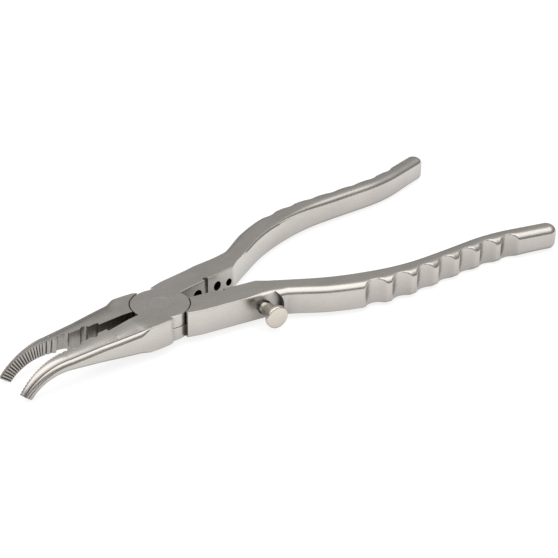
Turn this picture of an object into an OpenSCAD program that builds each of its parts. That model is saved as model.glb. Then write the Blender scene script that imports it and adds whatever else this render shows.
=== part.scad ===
// Bent-nose stainless fishing pliers: two half-lapped levers on a flush rivet, with a thumbscrew
// in one handle that locks into a hole in the other.
// Millimetres. Origin on the rivet axis at the underside of the joint. +X runs toward the handles,
// +Z is up, and the lower lever's handle is on the -Y side. The pliers are drawn a little open.

/* [Levers] */
// Thickness of both levers together at the joint
plate_t = 12; // [9:0.5:16]
// Angle between the two levers as drawn, zero is jaws shut
open_angle = 11.4; // [0:0.2:36]
// Radius of each half-lap disc
lap_r = 12.8; // [10:0.1:16]
// Gap between a lap disc and the other lever's recess
lap_gap = 0.45; // [0.2:0.05:0.6]
// Gap between the two flat lap faces
face_gap = 0.28; // [0.04:0.02:0.4]

/* [Jaws] */
// Distance of each gripping face from the closing plane
grip_gap = 0.15; // [0.1:0.05:0.5]
// Radius of the bend along the top of the jaw
bend_top_r = 27.8; // [20:0.1:40]
// Radius of the bend along the underside of the jaw
bend_low_r = 22.3; // [16:0.1:34]
// How far the jaw turns down at the bend
bend_angle = 55; // [20:1:60]
// Distance between teeth along the jaw
tooth_pitch = 1.25; // [1:0.05:3]
// Depth of each tooth groove
tooth_depth = 0.4; // [0.2:0.05:0.8]

/* [Handles] */
// Width of the grip across the hand
grip_w = 9.8; // [6:0.1:12]
// Radius of the grip's long edges
grip_edge_r = 3.3; // [1:0.1:4]
// Number of finger hollows on the outside of each grip
hollow_count = 7; // [3:1:9]
// Distance between finger hollows
hollow_pitch = 12.8; // [10:0.05:20]
// Radius of each finger hollow
hollow_r = 5.8; // [5.5:0.1:20]
// Depth of each finger hollow
hollow_depth = 4; // [0.5:0.1:5]

/* [Rivet] */
// Radius of the rivet shank
rivet_r = 4; // [2.5:0.1:6]
// Radius of the flush rivet head at the lever face
rivet_head_r = 5.2; // [3:0.1:8]
// Running clearance round the rivet in the upper lever
rivet_clear = 0.04; // [0.01:0.01:0.1]

/* [Thumbscrew] */
// Distance of the screw from the rivet along the handle
screw_x = 42.8; // [38:0.1:46]
// Radius of the screw thread
screw_r = 2.5; // [2:0.1:3]
// Running clearance of the thread in its hole
screw_clear = 0.05; // [0.01:0.01:0.1]
// Radius of the plain tip that enters the other lever
tip_r = 1.6; // [1:0.1:2]
// Radius of the round thumbscrew head
knob_r = 5.15; // [4:0.05:8]
// Thickness of the head
knob_t = 2.4; // [2:0.1:6]
// Distance from the handle to the underside of the head
screw_out = 8.4; // [3:0.1:10]
// Radius of the round shank under the head
shank_r = 3.05; // [2.8:0.05:4]
// Distance from the handle to the shank
screw_bare = 1.8; // [0.6:0.1:4]
// Radius of the flat cut round the screw
spot_r = 8.4; // [7:0.1:12]
// How far the screw stands below the middle of the handle
screw_drop = 0.9; // [0:0.1:2]

/* [Hidden] */
$fn = 72;
half_t = plate_t / 2;
half_open = open_angle / 2;
spot_y = 15.5;
// straight runs of the grip are this much slimmer than the turns and reach this far into them
run_slim = 0.02;
run_lap = 1;
// side view of the jaw: straight top and underside, then two arcs that share the bend
jaw_root_x = -18;
bend_x = -52;
top_c = [bend_x, 3.1 - bend_top_r];
low_c = [bend_x - 0.8, -2.9 - bend_low_r];
tooth_from = 5.9;
tooth_count = 17;
// grip centre line: start point, heading, and the lengths and turns that follow
grip_at = [48.12, 10.94];
grip_head = 24.3;
run_a = 18;
turn_b = 30;
turn_b_r = 108;
run_c = 29.4;
turn_d = 15;
turn_d_r = 90;
run_e = 17.5;
// grip length at the first finger hollow of the lower and upper lever
hollow_first = [46, 48.4];
// blind holes in the upper lever's inner face: distance from the rivet, radius and height
hole_x = [23.4, 35.6, screw_x];
hole_r = [2.65, 2.2, tip_r + 0.15];
hole_z = [0, 0, -screw_drop];
steel = [0.72, 0.71, 0.68];

function ahead(p, a, d) = p + d * [cos(a), sin(a)];
function turned(p, a, r, t) = p + r * [sin(a) - sin(a - t), cos(a - t) - cos(a)];
function turned_left(p, a, r, t) = p + r * [sin(a + t) - sin(a), cos(a) - cos(a + t)];
grip_b = ahead(grip_at, grip_head, run_a);
grip_c = turned(grip_b, grip_head, turn_b_r, turn_b);
head_c = grip_head - turn_b;
grip_d = ahead(grip_c, head_c, run_c);
grip_e = turned_left(grip_d, head_c, turn_d_r, turn_d);
head_e = head_c + turn_d;
grip_end = ahead(grip_e, head_e, run_e);
// length of the grip centre line to a point, and the point and heading at a length
len_b = run_a + turn_b_r * turn_b * PI / 180;
function on_grip(s) =
    s < len_b ? turned(grip_b, grip_head, turn_b_r, (s - run_a) / turn_b_r * 180 / PI)
    : s < len_b + run_c ? ahead(grip_c, head_c, s - len_b)
    : turned_left(grip_d, head_c, turn_d_r, (s - len_b - run_c) / turn_d_r * 180 / PI);
function grip_dir(s) =
    s < len_b ? grip_head - (s - run_a) / turn_b_r * 180 / PI
    : s < len_b + run_c ? head_c
    : head_c + (s - len_b - run_c) / turn_d_r * 180 / PI;

// ---- grip ----

module grip_section(slim = 0) {
    w = grip_w / 2 - grip_edge_r;
    t = half_t - grip_edge_r;
    square([2 * w, plate_t - slim], center = true);
    square([grip_w - slim, 2 * t], center = true);
    for (sx = [-1, 1], sy = [-1, 1])
        translate([sx * w, sy * t])
            circle(grip_edge_r - slim / 2);
}

module grip_run(p, a, len) {
    translate([p[0], p[1], 0])
        rotate([0, 0, a])
            translate([-run_lap, 0, 0])
                rotate([90, 0, 90])
                    linear_extrude(len + 2 * run_lap)
                        grip_section(run_slim);
}

// side is -1 for a turn to the right and 1 for a turn to the left
module grip_turn(p, a, r, t, side) {
    translate([p[0] - side * r * sin(a), p[1] + side * r * cos(a), 0])
        rotate([0, 0, side < 0 ? a + 90 - t : a - 90])
            rotate_extrude(angle = t)
                translate([r, 0])
                    grip_section();
}

module grip_tip(p, a) {
    translate([p[0], p[1], 0])
        rotate([0, 0, a - 90])
            rotate_extrude(angle = 180)
                intersection() {
                    grip_section();
                    translate([0, -half_t])
                        square([grip_w, plate_t]);
                }
}

module finger_hollows(first) {
    for (i = [0 : hollow_count - 1]) {
        s = first + i * hollow_pitch;
        c = on_grip(s);
        a = grip_dir(s);
        away = grip_w / 2 + hollow_r - hollow_depth;
        translate([c[0] - away * sin(a), c[1] + away * cos(a), -plate_t])
            cylinder(h = 2 * plate_t, r = hollow_r);
    }
}

module grip(first) {
    difference() {
        union() {
            grip_run(grip_at, grip_head, run_a);
            grip_turn(grip_b, grip_head, turn_b_r, turn_b, -1);
            grip_run(grip_c, head_c, run_c);
            grip_turn(grip_d, head_c, turn_d_r, turn_d, 1);
            grip_run(grip_e, head_e, run_e);
            grip_tip(grip_end, head_e);
        }
        finger_hollows(first);
    }
}

// flat-sided part of the handle between the joint and the grip
module handle_block() {
    linear_extrude(plate_t, center = true)
        polygon([[5.2, 11], [6, 13.3], [12.6, 14.5], [27.5, 15.1], [36, 15.95], [50, 17.5], [52, 7.4],
            [45.3, 3.5], [28, 2.6], [13, 1.6], [6, 0]]);
}

module handle(first) {
    union() {
        handle_block();
        grip(first);
    }
}

// ---- jaw ----

// plan of the jaw: back is how far the side-cutting face stands behind the closing plane
module jaw_plan(back_root, back_tip) {
    polygon([[-3.6, 11.4], [-4.15, 13.4], [-6, 14], [-12.5, 13.8], [-17, 13.3], [-22, 12.5], [-30, 11],
        [-38, 9.3], [-52, 7.2], [-90, 0.25], [-90, grip_gap], [-29.4, grip_gap], [-29.4, back_tip],
        [-12, back_root], [-6, 5]]);
}

// side view, drawn in X and Z
module jaw_side() {
    difference() {
        union() {
            polygon([[0, half_t], [jaw_root_x, half_t], [bend_x, 3.1], [bend_x - 0.8, -2.9],
                [jaw_root_x, -half_t + 0.2], [0, -half_t]]);
            intersection() {
                translate(top_c)
                    circle(bend_top_r, $fn = 180);
                translate([bend_x - 60, -40])
                    square([60, 60]);
            }
        }
        translate(low_c)
            circle(bend_low_r, $fn = 180);
        translate(top_c)
            rotate(90 + bend_angle)
                translate([0, -1])
                    square([80, 80]);
        translate([-20, -60])
            mirror([1, 0])
                square([80, 34]);
    }
}

// V groove across the gripping face, a degrees round the bend
module tooth_groove(a) {
    r = bend_top_r - 2.5;
    side = tooth_depth * sqrt(2);
    translate([bend_x - r * sin(a), grip_gap, top_c[1] + r * cos(a)])
        rotate([0, -a, 0])
            rotate([0, 0, 45])
                cube([side, side, 14], center = true);
}

module jaw(back_root, back_tip) {
    difference() {
        intersection() {
            linear_extrude(60, center = true)
                jaw_plan(back_root, back_tip);
            rotate([90, 0, 0])
                linear_extrude(80, center = true)
                    jaw_side();
        }
        for (i = [0 : tooth_count - 1])
            tooth_groove(tooth_from + i * tooth_pitch / (bend_top_r - 2.5) * 180 / PI);
        // small and large crimping notches with a shallow recess between them
        translate([-32, -1, -10])
            cube([3, 1.55, 20]);
        translate([-35.7, grip_gap - 0.1, -10])
            cylinder(h = 20, r = 1.7);
        translate([-42, -1, -10])
            cube([5.2, 1.5, 20]);
        for (x = [-44.2, -46.5])
            translate([x, grip_gap, -10])
                cylinder(h = 20, r = 1.7);
        translate([-46.5, grip_gap - 1, -10])
            cube([2.3, 2.7, 20]);
        // coarse grooves ahead of the large notch
        for (x = [-50.3, -52.8])
            translate([x, grip_gap, 0])
                rotate([0, 0, 45])
                    cube([0.9, 0.9, 20], center = true);
    }
}

// ---- levers ----

// one lever in the shut position: jaw on +Y, handle on -Y, its lap disc in the lower half of the
// thickness for lap_side -1 or the upper half for 1, and its first finger hollow at a grip length
module lever(back_root, back_tip, lap_side, first) {
    difference() {
        union() {
            difference() {
                union() {
                    jaw(back_root, back_tip);
                    mirror([0, 1, 0])
                        handle(first);
                }
                translate([0, 0, -lap_side * (half_t - face_gap / 2)])
                    cylinder(h = plate_t, r = lap_r + lap_gap, center = true, $fn = 144);
            }
            translate([0, 0, lap_side * (half_t / 2 + face_gap / 4)])
                cylinder(h = half_t - face_gap / 2, r = lap_r, center = true, $fn = 144);
        }
        // half-round wire groove in the inner face
        translate([28.7, -3.2, 0])
            cylinder(h = 2 * plate_t, r = 1.2, center = true);
    }
}

// pieces are drawn about mid thickness and lifted so that the underside of the joint is at zero
module placed(turn) {
    translate([0, 0, half_t])
        rotate([0, 0, turn])
            children();
}

module lower_lever() {
    color(steel)
        placed(-half_open)
            difference() {
                lever(-0.2, -1.2, -1, hollow_first[0]);
                translate([0, 0, -plate_t])
                    cylinder(h = 2 * plate_t, r = rivet_r);
                rivet_sink(0);
                translate([screw_x, 0, -screw_drop])
                    rotate([90, 0, 0])
                        cylinder(h = 30, r = screw_r + screw_clear);
                translate([screw_x, -spot_y, -screw_drop])
                    rotate([90, 0, 0])
                        cylinder(h = 12, r = spot_r);
            }
}

module upper_lever() {
    color(steel)
        placed(half_open)
            difference() {
                mirror([0, 1, 0])
                    lever(1.4, 2, 1, hollow_first[1]);
                translate([0, 0, -plate_t])
                    cylinder(h = 2 * plate_t, r = rivet_r + rivet_clear);
                rivet_sink(rivet_clear);
                for (i = [0 : 2])
                    translate([hole_x[i], 0, hole_z[i]])
                        rotate([-90, 0, 0])
                            cylinder(h = 11, r = hole_r[i]);
            }
}

// ---- rivet ----

// countersunk ends of the rivet, grown by the clearance
module rivet_sink(grow) {
    for (side = [0, 1])
        mirror([0, 0, side])
            translate([0, 0, half_t - 1.2])
                cylinder(h = 1.2, r1 = rivet_r + grow, r2 = rivet_head_r + grow);
}

module pivot_rivet() {
    color([0.66, 0.65, 0.62])
        placed(0)
            rotate_extrude()
                polygon([[0, -half_t], [rivet_head_r, -half_t], [rivet_r, -half_t + 1.2],
                    [rivet_r, half_t - 1.2], [rivet_head_r, half_t], [0, half_t]]);
}

// ---- thumbscrew ----

// places a screw piece with its axis along +Z, zero at the handle face and positive outward
module at_screw() {
    placed(-half_open)
        translate([screw_x, -spot_y, -screw_drop])
            rotate([90, 0, 0])
                children();
}

module thumbscrew_stud() {
    color([0.6, 0.59, 0.56])
        at_screw()
            rotate_extrude()
                polygon([[0, -19], [tip_r - 0.4, -19], [tip_r, -18.6], [tip_r, -14], [screw_r, -13.1],
                    [screw_r, screw_bare], [1.8, screw_bare], [1.8, screw_out + 1.4],
                    [0, screw_out + 1.4]]);
}

module thumbscrew_head() {
    top = screw_out + knob_t;
    color(steel)
        at_screw()
            rotate_extrude()
                polygon([[1.83, screw_bare + 0.03], [shank_r - 0.3, screw_bare + 0.03],
                    [shank_r, screw_bare + 0.33], [shank_r, screw_out], [knob_r - 0.4, screw_out],
                    [knob_r, screw_out + 0.4], [knob_r, top - 0.4], [knob_r - 0.4, top], [0, top],
                    [0, screw_out + 1.43], [1.83, screw_out + 1.43]]);
}

upper_lever();
lower_lever();
pivot_rivet();
thumbscrew_stud();
thumbscrew_head();
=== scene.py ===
"""Bent-nose stainless fishing pliers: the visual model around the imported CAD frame.

Both levers are lofted section by section in millimetres in their shut position, with the rivet axis
at the origin and mid thickness at zero height, then turned open and lifted onto the CAD frame.
"""

import math

import bmesh
import bpy
from mathutils import Matrix, Vector


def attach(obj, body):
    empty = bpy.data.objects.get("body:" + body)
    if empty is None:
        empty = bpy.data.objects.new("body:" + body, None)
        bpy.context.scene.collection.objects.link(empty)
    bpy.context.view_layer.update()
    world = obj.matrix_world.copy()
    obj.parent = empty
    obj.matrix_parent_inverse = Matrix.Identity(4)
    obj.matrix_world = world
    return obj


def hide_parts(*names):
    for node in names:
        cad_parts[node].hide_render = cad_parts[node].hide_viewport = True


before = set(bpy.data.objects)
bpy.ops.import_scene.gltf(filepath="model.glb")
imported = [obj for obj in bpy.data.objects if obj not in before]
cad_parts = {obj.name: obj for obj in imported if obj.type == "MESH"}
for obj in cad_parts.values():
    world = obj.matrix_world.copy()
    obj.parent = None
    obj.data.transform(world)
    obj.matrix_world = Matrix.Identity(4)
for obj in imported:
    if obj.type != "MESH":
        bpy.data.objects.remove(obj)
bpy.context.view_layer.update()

# ---- sizes in millimetres and degrees: the CAD part's, and finer ones that only the looks need ----
MM = 0.001
HALF_T = 6.0
HALF_OPEN = 5.7
LAP_R = 12.8
LAP_GAP = 0.45
FACE_GAP = 0.28
GRIP_GAP = 0.15

JAW_ROOT_X = -4.15
TAPER_X = -18.0
TAPER_LOW_Z = -5.8
BEND_X = -52.0
BEND_TOP_Z = 3.1
BEND_LOW_Z = -2.9
# how much nearer the tip the underside's bend starts
BEND_LEAD = 0.8
BEND_TOP_R = 27.8
BEND_LOW_R = 22.3
TOP_C = (BEND_X, BEND_TOP_Z - BEND_TOP_R)
LOW_C = (BEND_X - BEND_LEAD, BEND_LOW_Z - BEND_LOW_R)
TIP_TOP_DEG = 52.92
TIP_LOW_DEG = 50.19
# outer side of the jaw from above, as (x, y) with x rising
JAW_OUTER = [(-90, 0.25), (-52, 7.2), (-38, 9.3), (-30, 11.0), (-22, 12.5), (-17, 13.3), (-12.5, 13.8),
             (-9, 13.95), (-6, 14.0), (-4.15, 13.4)]
# degrees round the bend at the first tooth groove
TOOTH_FROM = 5.9
TOOTH_PITCH = 1.25
TOOTH_DEPTH = 0.4
TEETH = 17
SLOT_END_X = -29.4
SLOT_ROOT_X = -12.0
# inner face's distance from the closing plane at the slot's root and at its end, negative past the plane
SLOT_WALL = {"lower": (-0.2, -1.2), "upper": (1.4, 2.0)}
# from the slot's root the inner face curves out to the lap disc: its last distance and the curve's length
DISC_BACK = 9.8
DISC_CURVE = 8
# round notches as (place, radius, depth of the centre) and square ones as (start, end, depth)
ROUND_NOTCHES = [(-35.7, 1.7, -0.1), (-44.2, 1.7, 0.0), (-46.5, 1.7, 0.0)]
SQUARE_NOTCHES = [(-32.0, -29.4, 0.2), (-42.0, -36.8, 0.35), (-46.5, -44.2, 1.7)]
COARSE_GROOVES = [-50.3, -52.8]
COARSE_DEPTH = 0.64
# width of the strip that a notch pulls in at the top and the underside
NOTCH_STRIP = 0.6
# the outer top edge is ground to a bevel from here to the tip, and the top is crowned
BEVEL_X = -14.5
BEVEL = 1.55
UNGROUND_BEVEL = 0.25
CROWN = 0.85
# half width and depth of the thin grooves above and below the bevel
CREASE_TOP = 0.46
CREASE_LOW = 0.24

# start of the grip's centre line, its heading there, and the length at which the block has become the grip
GRIP_AT = (48.12, 10.94)
GRIP_HEADING = 24.3
GRIP_FROM = 3.85
# stretches of the centre line as (length, 0, 0) or (degrees, radius, side it turns to)
GRIP_PATH = [(18.0, 0, 0), (30, 108.0, -1), (29.4, 0, 0), (15, 90.0, 1), (17.5, 0, 0)]
HOLLOWS = 7
# grip length at the first finger hollow of the lower and upper lever
HOLLOW_FIRST = {"lower": 46.0, "upper": 48.4}
HOLLOW_PITCH = 12.8
# radius, depth and rim softening of a finger hollow
HOLLOW_R = 5.7
HOLLOW_DEPTH = 2.8
HOLLOW_BLEND = 1.1
# outer side of the handle block, each point opposite one of the inner side's
BLOCK_INNER = [(6, 0), (13, 1.6), (28, 2.6), (40, 3.3), (45.3, 3.5), (50.2, 6.34), (53.71, 7.92)]
BLOCK_OUTER = {
    "lower": [(6, 13.3), (12.6, 14.5), (27.5, 15.1), (36, 15.5), (41, 15.7), (45.5, 16.4), (49.29, 17.7)],
    "upper": [(6, 13.3), (12.6, 14.5), (27.5, 15.1), (36, 15.95), (41, 16.6), (45.5, 17.2), (49.29, 17.7)]}
# how far the outer side stands from the grip's centre line, as (grip length, distance)
OUTER_REACH = [(3.85, 5.69), (7.5, 4.65), (14, 4.8), (24, 5.4), (40, 5.6), (65, 4.8), (90, 3.95)]
# upright round groove in the handle block's inner side
RELIEF_AT = (28.7, -3.2)
RELIEF_R = 1.2

RIVET_R = 4.0
RIVET_HEAD_R = 5.2
RIVET_SINK = 1.2
SCREW_X = 42.8
SCREW_DROP = 0.9
SCREW_R = 2.5
SCREW_BARE = 1.8
SHANK_R = 3.05
SPOT_Y = 15.5
SPOT_R = 8.4
SCREW_OUT = 8.4
KNOB_R = 5.15
KNOB_T = 2.4
# blind holes in the upper lever as (x, z, radius)
BLIND_HOLES = [(23.4, 0, 2.65), (35.6, 0, 2.2), (SCREW_X, -SCREW_DROP, 1.75)]
BLIND_DEPTH = 11


def lerp(a, b, t):
    return a + (b - a) * t


def along(x, points):
    """Height of a polyline, given as (x, y) points with x rising."""
    if x <= points[0][0]:
        return points[0][1]
    for (x0, y0), (x1, y1) in zip(points, points[1:]):
        if x <= x1:
            return lerp(y0, y1, (x - x0) / (x1 - x0))
    return points[-1][1]


def smooth(t):
    """Eased rise from 0 to 1 while t goes from 0 to 1."""
    t = min(1.0, max(0.0, t))
    return t * t * (3 - 2 * t)


def spread(a, b, step):
    """Evenly spaced values from a to b, both ends in."""
    n = max(1, math.ceil(abs(b - a) / step))
    return [lerp(a, b, i / n) for i in range(n + 1)]


def linked(name, bm):
    """A new object in the scene, made from a bmesh, which is freed."""
    mesh = bpy.data.meshes.new(name)
    bm.to_mesh(mesh)
    bm.free()
    obj = bpy.data.objects.new(name, mesh)
    bpy.context.scene.collection.objects.link(obj)
    return obj


def loft(name, rings):
    """A closed mesh through rings of equally many points, capped at both ends."""
    bm = bmesh.new()
    made = [[bm.verts.new(p) for p in ring] for ring in rings]
    n = len(rings[0])
    for a, b in zip(made, made[1:]):
        for i in range(n):
            j = (i + 1) % n
            bm.faces.new((a[i], a[j], b[j], b[i]))
    bm.faces.new(list(reversed(made[0])))
    bm.faces.new(made[-1])
    bmesh.ops.recalc_face_normals(bm, faces=bm.faces)
    return linked(name, bm)


def revolve(name, profile, steps=96, matrix=Matrix.Identity(4)):
    """A closed solid of revolution round Z from (radius, height) points that start and end on the axis."""
    bm = bmesh.new()
    ends = [bm.verts.new((0, 0, profile[0][1])), bm.verts.new((0, 0, profile[-1][1]))]
    rows = []
    for k in range(steps):
        a = 2 * math.pi * k / steps
        rows.append([bm.verts.new((r * math.cos(a), r * math.sin(a), z)) for r, z in profile[1:-1]])
    for k in range(steps):
        a, b = rows[k], rows[(k + 1) % steps]
        bm.faces.new((ends[0], a[0], b[0]))
        bm.faces.new((ends[1], b[-1], a[-1]))
        for i in range(len(a) - 1):
            bm.faces.new((a[i], a[i + 1], b[i + 1], b[i]))
    bmesh.ops.recalc_face_normals(bm, faces=bm.faces)
    bm.transform(matrix)
    return linked(name, bm)


def cylinder(r, z0, z1, matrix=Matrix.Identity(4), steps=96):
    """Cutting tool for a round hole or recess."""
    return revolve("tool", [(0, z0), (r, z0), (r, z1), (0, z1)], steps, matrix)


def combine(obj, operation, tool):
    """Applies one exact boolean and removes the tool."""
    mod = obj.modifiers.new("cut", "BOOLEAN")
    mod.operation = operation
    mod.solver = "MANIFOLD"
    mod.object = tool
    dg = bpy.context.evaluated_depsgraph_get()
    mesh = bpy.data.meshes.new_from_object(obj.evaluated_get(dg))
    obj.modifiers.clear()
    old = obj.data
    obj.data = mesh
    bpy.data.meshes.remove(old)
    bpy.data.objects.remove(tool)


# ---- jaw ----

def jaw_stations():
    """Distances from the jaw's root along its top line, dense where the gripping face has detail."""
    bend_s = JAW_ROOT_X - BEND_X
    end = bend_s + BEND_TOP_R * math.radians(TIP_TOP_DEG)
    found = spread(0, end, 0.6)
    for i in range(TEETH):
        found += [tooth_s(i) + d * TOOTH_DEPTH for d in (-1, -0.5, 0, 0.5, 1)]
    for x in COARSE_GROOVES:
        found += [JAW_ROOT_X - x + d * COARSE_DEPTH for d in (-1, 0, 1)]
    for centre, r, _ in ROUND_NOTCHES:
        found += [JAW_ROOT_X - centre + r * math.cos(math.radians(a)) for a in range(0, 181, 15)]
    edges = [SLOT_END_X, SLOT_ROOT_X, TAPER_X] + [x for notch in SQUARE_NOTCHES for x in notch[:2]]
    for x in edges:
        found += [JAW_ROOT_X - x - 0.03, JAW_ROOT_X - x + 0.03]
    kept = []
    for s in sorted(found):
        if 0 <= s <= end and (not kept or s - kept[-1] > 0.02):
            kept.append(s)
    return kept


def tooth_s(i):
    """Place of a tooth groove along the jaw's top line."""
    turn = math.radians(TOOTH_FROM) + i * TOOTH_PITCH / (BEND_TOP_R - 2.5)
    return JAW_ROOT_X - BEND_X + turn * BEND_TOP_R


def jaw_line(s):
    """Top and underside points (x, z) of the jaw's side view at distance s."""
    over = s - (JAW_ROOT_X - BEND_X)
    if over <= 0:
        x = JAW_ROOT_X - s
        u = max(0.0, (TAPER_X - x) / (TAPER_X - BEND_X))
        low = lerp(TAPER_LOW_Z, BEND_LOW_Z, u) if u > 0 else lerp(-HALF_T, TAPER_LOW_Z, x / TAPER_X)
        return (x, lerp(HALF_T, BEND_TOP_Z, u)), (x - BEND_LEAD * u, low)
    a = over / BEND_TOP_R
    b = a * TIP_LOW_DEG / TIP_TOP_DEG
    return ((TOP_C[0] - BEND_TOP_R * math.sin(a), TOP_C[1] + BEND_TOP_R * math.cos(a)),
            (LOW_C[0] - BEND_LOW_R * math.sin(b), LOW_C[1] + BEND_LOW_R * math.cos(b)))


def gripping_face(s, back_root, back_tip):
    """How far the inner face stands from the closing plane at distance s."""
    x = JAW_ROOT_X - s
    if x > SLOT_ROOT_X:
        return lerp(back_root, DISC_BACK, smooth((x - SLOT_ROOT_X) / DISC_CURVE))
    if x > SLOT_END_X:
        return lerp(back_tip, back_root, (x - SLOT_END_X) / (SLOT_ROOT_X - SLOT_END_X))
    y = GRIP_GAP
    for centre, r, base in ROUND_NOTCHES:
        if abs(x - centre) < r:
            y = max(y, GRIP_GAP + base + math.sqrt(r * r - (x - centre) ** 2))
    for start, end, depth in SQUARE_NOTCHES:
        if start < x < end:
            y = max(y, GRIP_GAP + depth)
    for centre in COARSE_GROOVES:
        y = max(y, GRIP_GAP + COARSE_DEPTH - abs(x - centre))
    for i in range(TEETH):
        y = max(y, GRIP_GAP + TOOTH_DEPTH - abs(s - tooth_s(i)))
    return y


def jaw_base(s, back_root, back_tip):
    """The inner face without its notches and teeth."""
    x = JAW_ROOT_X - s
    return GRIP_GAP if x < SLOT_END_X else gripping_face(s, back_root, back_tip)


def jaw_ring(s, back_root, back_tip):
    """Outline of the jaw at distance s, from the gripping face over the top and the outer face."""
    top, low = jaw_line(s)
    height = math.hypot(top[0] - low[0], top[1] - low[1])
    x_mid = (top[0] + low[0]) / 2
    outer = along(x_mid, JAW_OUTER)
    back = min(gripping_face(s, back_root, back_tip), outer - 0.5)
    width = outer - jaw_base(s, back_root, back_tip)
    room = outer - back
    edge = min(width, room) - NOTCH_STRIP
    ground = smooth((BEVEL_X - x_mid) / 6)
    bevel = max(UNGROUND_BEVEL, min(BEVEL, 0.36 * width) * ground)
    fall = 1.2 * bevel
    crown = CROWN * ground * min(1.0, width / 5)
    begun = smooth((BEVEL_X - x_mid) / 1.5)
    crease_top, crease_low = (min(c, 0.3 * bevel) * begun for c in (CREASE_TOP, CREASE_LOW))

    ring = []

    def point(inset, depth, from_top):
        """inset is from the outer face, depth from the top or the underside."""
        t = depth / height
        t = 1 - t if from_top else t
        if inset > edge:
            inset = edge + (room - edge) * (inset - edge) / (width - edge)
        ring.append((lerp(low[0], top[0], t), outer - inset, lerp(low[1], top[1], t)))

    def inner(depth_share):
        ring.append((lerp(top[0], low[0], depth_share), back, lerp(top[1], low[1], depth_share)))

    def groove(inset, depth, crease, normal_in, normal_down):
        """V groove across the edge band, its middle pressed in along the given normal."""
        point(inset + crease * normal_down, depth - crease * normal_in, True)
        point(inset + crease * normal_in, depth + crease * normal_down, True)
        point(inset - crease * normal_down, depth + crease * normal_in, True)

    inner(0)
    for i in range(1, 9):
        f = i / 8
        point(lerp(width, bevel + 1.1 * crease_top, f), crown * max(0, (f - 0.3) / 0.7) ** 2, True)
    groove(bevel, crown, crease_top, 0.5, 0.85)
    for f in (0.3, 0.5, 0.7):
        bulge = 0.12 * bevel * math.sin(math.pi * f)
        point(bevel * (1 - f) - bulge, crown + fall * f - bulge, True)
    groove(0, crown + fall, crease_low, 0.85, 0.5)
    side_top, side_low = crown + fall + 1.5 * crease_low, height - bevel
    for f in (0.25, 0.5, 0.75):
        point(-0.06 * math.sin(math.pi * f) * ground, lerp(side_top, side_low, f), True)
    point(0, bevel, False)
    point(0.3 * bevel, 0.6 * bevel, False)
    point(0.65 * bevel, 0.2 * bevel, False)
    for f in (1, 0.66, 0.33):
        point(lerp(width, bevel, f), 0, False)
    for f in (1, 0.75, 0.5, 0.25):
        inner(f)
    return ring


def jaw(back_root, back_tip):
    """Closed solid of one jaw, from the lap to the tip."""
    return loft("jaw", [jaw_ring(s, back_root, back_tip) for s in jaw_stations()])


# ---- handle ----

def grip_line():
    """Centre line of the grip as (distance, point, heading in degrees), ending at the tip's centre."""
    (x, y), heading, s = GRIP_AT, GRIP_HEADING, 0.0
    found = [(s, (x, y), heading)]
    for size, r, side in GRIP_PATH:
        length = size if side == 0 else r * math.radians(size)
        steps = math.ceil(length / 0.4)
        for _ in range(steps):
            d = length / steps
            turn = 0 if side == 0 else side * math.degrees(d / r)
            mid = math.radians(heading + turn / 2)
            x, y, heading, s = x + d * math.cos(mid), y + d * math.sin(mid), heading + turn, s + d
            found.append((s, (x, y), heading))
    return found


def grip_edges(s):
    """Distance of the outer and inner side from the centre line, and the underside's height."""
    slim = smooth((s - 40) / 50)
    return along(s, OUTER_REACH), lerp(5.05, 4.8, slim), -HALF_T + 0.9 * smooth((s - 112) / 30)


def edge_radii(s):
    """Radii of the long edges: outer underside, outer top, inner top and inner underside."""
    soft = smooth((s - 35) / 50)
    return (lerp(0.5, 2.4, soft), lerp(3.2, 3.6, soft), lerp(0.5, 2.8, soft), lerp(0.45, 2.4, soft))


def hollowed(across, s, first):
    """Limits how far the outer side stands from the centre line where a finger hollow is cut."""
    for i in range(HOLLOWS):
        centre = first + i * HOLLOW_PITCH
        ds = s - centre
        if abs(ds) < HOLLOW_R - 0.02:
            floor = along(centre, OUTER_REACH) - HOLLOW_DEPTH
            limit = floor + HOLLOW_R - math.sqrt(HOLLOW_R ** 2 - ds * ds)
            near = max(0.0, HOLLOW_BLEND - abs(across - limit))
            across = min(across, limit) - near * near / (4 * HOLLOW_BLEND)
    return across


def corner(centre_a, centre_z, r, start):
    """Quarter round from the angle start, as (across, height) points."""
    steps = 9
    return [(centre_a + r * math.cos(math.radians(start + 90 * i / steps)),
             centre_z + r * math.sin(math.radians(start + 90 * i / steps))) for i in range(steps + 1)]


def section(outer, inner, low, radii, groove=0.0):
    """Rounded rectangle, across positive on the outer side, starting at the outer underside.

    groove is the depth of a V groove in the inner face just below the top edge.
    """
    t = HALF_T
    ol, ot, it, il = radii
    points = corner(outer - ol, low + ol, ol, -90)
    points += [(outer, lerp(low + ol, t - ot, f)) for f in (0.25, 0.5, 0.75)]
    points += corner(outer - ot, t - ot, ot, 0)
    points += [(lerp(outer - ot, it - inner, f), t) for f in (0.33, 0.66)]
    points += corner(it - inner, t - it, it, 90)
    points += [(groove - inner, t - it - 0.5), (-inner, t - it - 1.0)]
    points += [(-inner, lerp(t - it, low + il, f)) for f in (0.4, 0.7)]
    points += corner(il - inner, low + il, il, 180)
    points += [(lerp(il - inner, outer - ol, f), low) for f in (0.33, 0.66)]
    return points


def crease_depth(s):
    """Depth of the fine groove along the grip's inner face, which fades out at both ends."""
    return 0.45 * smooth((s - 3) / 14) * (1 - smooth((s - 26) / 44))


def beside(point, heading, forward, across):
    """Plan point moved forward and across, along a heading in degrees."""
    cos_h, sin_h = math.cos(math.radians(heading)), math.sin(math.radians(heading))
    return point[0] + cos_h * forward - sin_h * across, point[1] + sin_h * forward + cos_h * across


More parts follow.
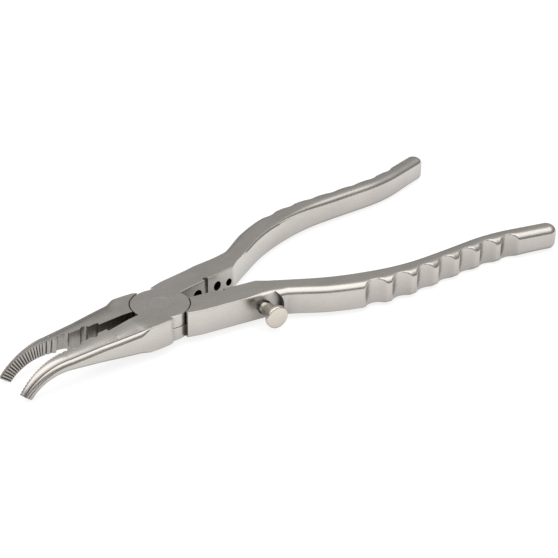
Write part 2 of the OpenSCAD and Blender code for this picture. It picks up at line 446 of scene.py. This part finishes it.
def handle(first, outer):
    """Flat-sided block that turns into the rounded, hollowed grip."""
    inner = BLOCK_INNER
    rings = []
    for k in range(len(inner) - 1):
        reach = math.dist(inner[k], inner[k + 1])
        for f in spread(0, 1, 0.7 / reach)[:-1]:
            i = [lerp(inner[k][c], inner[k + 1][c], f) for c in (0, 1)]
            o = [lerp(outer[k][c], outer[k + 1][c], f) for c in (0, 1)]
            half = math.dist(i, o) / 2
            out = [(o[c] - i[c]) / (2 * half) for c in (0, 1)]
            mid = [(i[c] + o[c]) / 2 for c in (0, 1)]
            outer_top = lerp(0.35, 3.2, smooth((mid[0] - 32) / 20))
            radii = (0.45, outer_top, 0.4, 0.4)
            rings.append([(mid[0] + out[0] * a, mid[1] + out[1] * a, z)
                          for a, z in section(half, half, -HALF_T, radii)])
    line = grip_line()
    for s, centre, heading in line:
        if s < GRIP_FROM:
            continue
        grip = section(*grip_edges(s), edge_radii(s), crease_depth(s))
        rings.append([(*beside(centre, heading, 0, hollowed(a, s, first)), z) for a, z in grip])
    # rounded end: sections that turn about the middle of the last one
    s, centre, heading = line[-1]
    outer_edge, inner_edge, low = grip_edges(s)
    middle, half = (outer_edge - inner_edge) / 2, (outer_edge + inner_edge) / 2
    for deg in list(range(4, 88, 4)) + [89.5]:
        lean = math.radians(deg)
        ring = []
        for a, z in grip:
            reach = math.sin(lean) * end_reach(z, low, half)
            across = middle + (a - middle) * math.cos(lean)
            ring.append((*beside(centre, heading, reach, across), z))
        rings.append(ring)
    return loft("handle", [[(px, -py, pz) for px, py, pz in ring] for ring in rings])


def end_reach(z, low, half):
    """How far the rounded end stands out at height z."""
    r = 3.4
    over = max(0.0, z - (HALF_T - r), low + r - z)
    return half - r + math.sqrt(max(0.0, r * r - over * over))


# ---- levers ----

def lever(which, side):
    """A lever shut: side -1 keeps the lower half of the lap, 1 the upper half."""
    obj = jaw(*SLOT_WALL[which])
    combine(obj, "UNION", handle(HOLLOW_FIRST[which], BLOCK_OUTER[which]))
    z0, z1 = sorted((side * FACE_GAP / 2, -side * 2 * HALF_T))
    combine(obj, "DIFFERENCE", cylinder(LAP_R + LAP_GAP, z0, z1, steps=180))
    rim = 0.15
    z0, z1 = sorted((side * HALF_T, side * FACE_GAP / 2))
    disc = [(0, z0), (LAP_R - rim, z0), (LAP_R, z0 + rim), (LAP_R, z1 - rim), (LAP_R - rim, z1), (0, z1)]
    combine(obj, "UNION", revolve("disc", disc, 180))
    combine(obj, "DIFFERENCE", cylinder(RELIEF_R, -9, 9, Matrix.Translation((*RELIEF_AT, 0)), 48))
    obj.name = which + "_lever_steel"
    return obj


def rivet_bore(grow):
    """Bore with countersunk ends, wider than the rivet by grow all round."""
    r, rh = RIVET_R + grow, RIVET_HEAD_R + grow
    half = [(r, HALF_T - RIVET_SINK), (rh, HALF_T), (rh + 1, HALF_T + 1), (0, HALF_T + 1)]
    return revolve("bore", [(a, -z) for a, z in half[::-1]] + half)


def toward_y(x, y, direction, z=0):
    """Matrix that lays a Z cylinder along +Y or -Y from the point (x, y, z)."""
    return Matrix.Translation((x, y, z)) @ Matrix.Rotation(math.radians(-90 * direction), 4, "X")


def placed(turn):
    """Matrix from the shut position to the CAD frame, turned open by some degrees."""
    return Matrix.Translation((0, 0, HALF_T)) @ Matrix.Rotation(math.radians(turn), 4, "Z")


def finish_mesh(obj, matrix, angle=28):
    """Puts a mesh in the CAD frame in metres and shades it smooth between its sharp edges."""
    bm = bmesh.new()
    bm.from_mesh(obj.data)
    bm.transform(Matrix.Scale(MM, 4) @ matrix)
    if matrix.determinant() < 0:
        bmesh.ops.reverse_faces(bm, faces=bm.faces)
    bmesh.ops.remove_doubles(bm, verts=bm.verts, dist=2e-6)
    bm.to_mesh(obj.data)
    bm.free()
    obj.data.shade_smooth()
    obj.data.set_sharp_from_angle(angle=math.radians(angle))
    weighted = obj.modifiers.new("normals", "WEIGHTED_NORMAL")
    weighted.keep_sharp = True
    weighted.weight = 100
    return obj


def lower_lever():
    obj = lever("lower", -1)
    at_screw = toward_y(SCREW_X, -SPOT_Y, -1, -SCREW_DROP)
    combine(obj, "DIFFERENCE", rivet_bore(0.015))
    combine(obj, "DIFFERENCE", cylinder(SPOT_R, 0, 12, at_screw, 128))
    sink = [(0, -30), (SCREW_R + 0.1, -30), (SCREW_R + 0.1, -0.7), (SCREW_R + 0.9, 0.1), (0, 0.1)]
    combine(obj, "DIFFERENCE", revolve("bore", sink, 64, at_screw))
    return finish_mesh(obj, placed(-HALF_OPEN))


def upper_lever():
    obj = lever("upper", 1)
    for x, z, r in BLIND_HOLES:
        combine(obj, "DIFFERENCE", cylinder(r, 0, BLIND_DEPTH, toward_y(x, 0, -1, z), 64))
    combine(obj, "DIFFERENCE", rivet_bore(0.04))
    return finish_mesh(obj, placed(HALF_OPEN) @ Matrix.Scale(-1, 4, (0, 1, 0)))


# ---- rivet and thumbscrew ----

def rivet():
    """Shank with countersunk ends, ground flush with both faces."""
    r, rh, t = RIVET_R, RIVET_HEAD_R, HALF_T
    half = [(rh * 0.5, t), (rh, t), (r, t - RIVET_SINK)]
    obj = revolve("pivot_rivet_steel", [(0, -t)] + [(a, -z) for a, z in half] + half[::-1] + [(0, t)])
    return finish_mesh(obj, placed(0))


SCREW = placed(-HALF_OPEN) @ toward_y(SCREW_X, -SPOT_Y, -1, -SCREW_DROP)


def stud():
    """Screw with a real helical thread between its plain tip and the head."""
    pitch, depth, around, neck_r = 0.8, 0.28, 48, 1.78
    # place along the screw, radius and thread depth of each ring
    rings = [(-19, 0.05, 0), (-19, 1.2, 0), (-18.6, 1.6, 0), (-14, 1.6, 0)]
    rings += [(z, SCREW_R, depth * smooth((z + 13.5) / 0.8) * smooth((SCREW_BARE - 0.1 - z) / 0.5))
              for z in spread(-13.4, SCREW_BARE - 0.03, 0.08)]
    rings += [(SCREW_BARE - 0.02, neck_r, 0), (SCREW_OUT + 1.38, neck_r, 0), (SCREW_OUT + 1.4, 0.05, 0)]
    made = []
    for z, r, cut in rings:
        ring = []
        for k in range(around):
            turn = k / around
            phase = (z / pitch - turn) % 1
            rr = r - cut * abs(2 * phase - 1)
            ring.append((rr * math.cos(2 * math.pi * turn), rr * math.sin(2 * math.pi * turn), z))
        made.append(ring)
    return finish_mesh(loft("thumbscrew_stud_steel", made), SCREW, 40)


def head():
    """Round head on a knurled shank, hollow round the end of the stud."""
    r, top, rim = KNOB_R, SCREW_OUT + KNOB_T, 0.5
    around, ridges, depth = 144, 24, 0.16
    start, bore = SCREW_BARE + 0.03, 1.83
    shank = [(start, SHANK_R - 0.3, 0)] + [
        (z, SHANK_R, depth * smooth((z - start - 0.2) / 0.4) * smooth((SCREW_OUT - 0.3 - z) / 0.3))
        for z in spread(start + 0.25, SCREW_OUT - 0.05, 0.4)]
    disc = [(SCREW_OUT, SHANK_R), (SCREW_OUT, r - rim)]
    disc += [(SCREW_OUT + rim - rim * math.cos(a), r - rim + rim * math.sin(a)) for a in (0.5, 1.1, 1.57)]
    disc += [(top - 0.7, r), (top - 0.35, r - 0.1), (top - 0.1, r - 0.45), (top - 0.04, r - 0.8),
             (top, r * 0.5), (top, 0.05)]
    rings = [(SCREW_OUT + 1.43, 0.05, 0), (SCREW_OUT + 1.43, bore, 0), (start, bore, 0)]
    rings += shank + [(z, rr, 0) for z, rr in disc]
    made = []
    for z, rr, cut in rings:
        ring = []
        for k in range(around):
            turn = 2 * math.pi * k / around
            wave = 0.5 - 0.5 * math.cos(ridges * turn)
            ring.append(((rr - cut * wave) * math.cos(turn), (rr - cut * wave) * math.sin(turn), z))
        made.append(ring)
    return finish_mesh(loft("thumbscrew_head_steel", made), SCREW, 40)


# ---- materials ----

def steel(name, colour, roughness, grain, streak=(1.0, 12.0, 12.0)):
    """Satin stainless steel: fine brush streaks, soft mottling, a painted highlight on convex edges and
    painted shade in creases and corners.
    """
    mat = bpy.data.materials.new(name)
    mat.use_nodes = True
    nodes, links = mat.node_tree.nodes, mat.node_tree.links
    nodes.clear()
    out = nodes.new("ShaderNodeOutputMaterial")
    shader = nodes.new("ShaderNodeBsdfPrincipled")
    shader.inputs["Metallic"].default_value = 1.0
    links.new(shader.outputs["BSDF"], out.inputs["Surface"])
    coords = nodes.new("ShaderNodeTexCoord")

    def noise(scale, stretch, detail):
        mapping = nodes.new("ShaderNodeMapping")
        mapping.inputs["Scale"].default_value = stretch
        links.new(coords.outputs["Object"], mapping.inputs["Vector"])
        texture = nodes.new("ShaderNodeTexNoise")
        texture.inputs["Scale"].default_value = scale
        texture.inputs["Detail"].default_value = detail
        texture.inputs["Roughness"].default_value = 0.6
        links.new(mapping.outputs["Vector"], texture.inputs["Vector"])
        return texture.outputs["Fac"]

    def remap(value, low, high, to_low, to_high):
        node = nodes.new("ShaderNodeMapRange")
        node.inputs["From Min"].default_value = low
        node.inputs["From Max"].default_value = high
        node.inputs["To Min"].default_value = to_low
        node.inputs["To Max"].default_value = to_high
        links.new(value, node.inputs["Value"])
        return node.outputs["Result"]

    def math_node(operation, a, b):
        node = nodes.new("ShaderNodeMath")
        node.operation = operation
        links.new(a, node.inputs[0])
        links.new(b, node.inputs[1])
        return node.outputs["Value"]

    def add(a, b):
        return math_node("ADD", a, b)

    def multiply(a, b):
        return math_node("MULTIPLY", a, b)

    def toned(level):
        return [min(1, c * level) for c in colour] + [1]

    def blend(factor, a, b):
        """Mixes two colours, each of them fixed or another node's output."""
        node = nodes.new("ShaderNodeMix")
        node.data_type = "RGBA"
        links.new(factor, node.inputs["Factor"])
        for key, value in (("A", a), ("B", b)):
            if isinstance(value, bpy.types.NodeSocket):
                links.new(value, node.inputs[key])
            else:
                node.inputs[key].default_value = value
        return node.outputs["Result"]

    streaks = noise(grain, streak, 4)
    speckle = noise(grain * 4, (1, 1, 1), 2)
    mottle = noise(90, (0.5, 1, 1), 3)

    edges = nodes.new("ShaderNodeNewGeometry").outputs["Pointiness"]
    # painted shade: ambient occlusion darkens the colour in corners, recesses and between the levers
    shade = nodes.new("ShaderNodeAmbientOcclusion")
    shade.inputs["Distance"].default_value = 0.02
    corner_painted_shade = remap(shade.outputs["AO"], 0.3, 0.88, 0.45, 1.0)
    # painted shade: concave creases and grooves are darkened in the colour
    crease_painted_shade = remap(edges, 0.42, 0.495, 0.1, 1.0)
    tint = blend(remap(add(streaks, mottle), 0.7, 1.3, 0, 1), toned(0.9), toned(1.06))
    # painted highlight: convex edges are lightened in the colour
    edge_painted_highlight = blend(remap(edges, 0.53, 0.6, 0, 0.15), tint, toned(1.2))
    shaded = blend(multiply(corner_painted_shade, crease_painted_shade), (0, 0, 0, 1), edge_painted_highlight)
    links.new(shaded, shader.inputs["Base Color"])

    streak_rough = remap(streaks, 0.3, 0.7, -0.04, 0.05)
    mottle_rough = remap(mottle, 0.3, 0.7, roughness - 0.03, roughness + 0.03)
    links.new(add(streak_rough, mottle_rough), shader.inputs["Roughness"])

    relief = nodes.new("ShaderNodeBump")
    relief.inputs["Strength"].default_value = 0.25
    relief.inputs["Distance"].default_value = 0.00006
    links.new(add(streaks, speckle), relief.inputs["Height"])
    links.new(relief.outputs["Normal"], shader.inputs["Normal"])
    return mat


def dress(obj, material, slot, body, *nodes):
    """Gives a piece its material, the body it rides on and the CAD nodes that it stands for."""
    obj.data.materials.clear()
    obj.data.materials.append(material)
    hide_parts(*nodes)
    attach(obj, body)


lever_steel = steel("lever_steel", (0.60, 0.565, 0.53), 0.26, 900)
rivet_steel = steel("rivet_steel", (0.60, 0.58, 0.555), 0.28, 900, (10.0, 1.5, 10.0))
screw_steel = steel("screw_steel", (0.70, 0.655, 0.58), 0.28, 700, (4.0, 4.0, 4.0))

dress(lower_lever(), lever_steel, "lever_steel", "lower", "lower_lever")
dress(upper_lever(), lever_steel, "lever_steel", "upper", "upper_lever")
dress(rivet(), rivet_steel, "rivet_steel", "lower", "pivot_rivet")
dress(stud(), screw_steel, "screw_steel", "stud", "thumbscrew_stud")
dress(head(), screw_steel, "screw_steel", "head", "thumbscrew_head")


# ---- floor, light and camera ----

def floor():
    """Plain pale floor that the jaw tips and the handle ends both touch."""
    tip_x, tip_z, end_x = -0.0697, -0.004924, 0.1903
    slope = math.atan2(-tip_z, end_x - tip_x)
    bm = bmesh.new()
    bmesh.ops.create_grid(bm, x_segments=1, y_segments=1, size=4.0)
    obj = linked("floor", bm)
    obj.rotation_euler = (0, -slope, 0)
    obj.location = (end_x, 0, -0.0001)
    mat = bpy.data.materials.new("floor")
    mat.use_nodes = True
    shader = mat.node_tree.nodes["Principled BSDF"]
    shader.inputs["Base Color"].default_value = (0.26, 0.26, 0.26, 1)
    shader.inputs["Emission Color"].default_value = (1, 1, 1, 1)
    shader.inputs["Emission Strength"].default_value = 0.82
    shader.inputs["Roughness"].default_value = 0.9
    obj.data.materials.append(mat)


def softbox(name, location, target, size, power):
    lamp = bpy.data.lights.new(name, "AREA")
    lamp.shape = "RECTANGLE"
    lamp.size, lamp.size_y = size
    lamp.energy = power
    obj = bpy.data.objects.new(name, lamp)
    obj.location = location
    obj.rotation_mode = "QUATERNION"
    obj.rotation_quaternion = (Vector(target) - Vector(location)).to_track_quat("-Z", "Y")
    bpy.context.scene.collection.objects.link(obj)


def room():
    """World light that is dim near the horizon and brighter overhead, as in a studio."""
    world = bpy.data.worlds.new("room")
    bpy.context.scene.world = world
    world.use_nodes = True
    nodes, links = world.node_tree.nodes, world.node_tree.links
    background = nodes["Background"]
    coords = nodes.new("ShaderNodeTexCoord")
    split = nodes.new("ShaderNodeSeparateXYZ")
    ramp = nodes.new("ShaderNodeValToRGB")
    links.new(coords.outputs["Generated"], split.inputs["Vector"])
    links.new(split.outputs["Z"], ramp.inputs["Fac"])
    links.new(ramp.outputs["Color"], background.inputs["Color"])
    stops = ramp.color_ramp.elements
    stops[0].position, stops[0].color = 0.0, (0.16, 0.16, 0.155, 1)
    stops[1].position, stops[1].color = 1.0, (0.75, 0.75, 0.75, 1)
    for position, level in ((0.25, 0.22), (0.45, 0.44)):
        stop = stops.new(position)
        stop.color = (level, level, level * 0.985, 1)


def camera():
    azimuth, elevation, roll = (math.radians(d) for d in (-38.6728, 28.5326, 0.9361))
    target, distance = Vector((0.0441746, -0.0253295, 0.0203979)), 0.747714
    back = Vector((math.sin(azimuth) * math.cos(elevation), -math.cos(azimuth) * math.cos(elevation),
                   math.sin(elevation)))
    right = Vector((math.cos(azimuth), math.sin(azimuth), 0))
    up = back.cross(right)
    right, up = (right * math.cos(roll) + up * math.sin(roll), up * math.cos(roll) - right * math.sin(roll))
    data = bpy.data.cameras.new("camera")
    data.sensor_width = 36
    data.lens = 113.448
    data.clip_start, data.clip_end = 0.01, 20
    obj = bpy.data.objects.new("camera", data)
    obj.matrix_world = Matrix.Translation(target + back * distance) @ Matrix(
        (right, up, back)).transposed().to_4x4()
    bpy.context.scene.collection.objects.link(obj)
    bpy.context.scene.camera = obj


floor()
room()
softbox("overhead", (-0.06, -0.2, 0.75), (0.04, -0.02, 0), (1.7, 1.2), 6.6)
camera()
bpy.context.scene.view_settings.view_transform = "Standard"
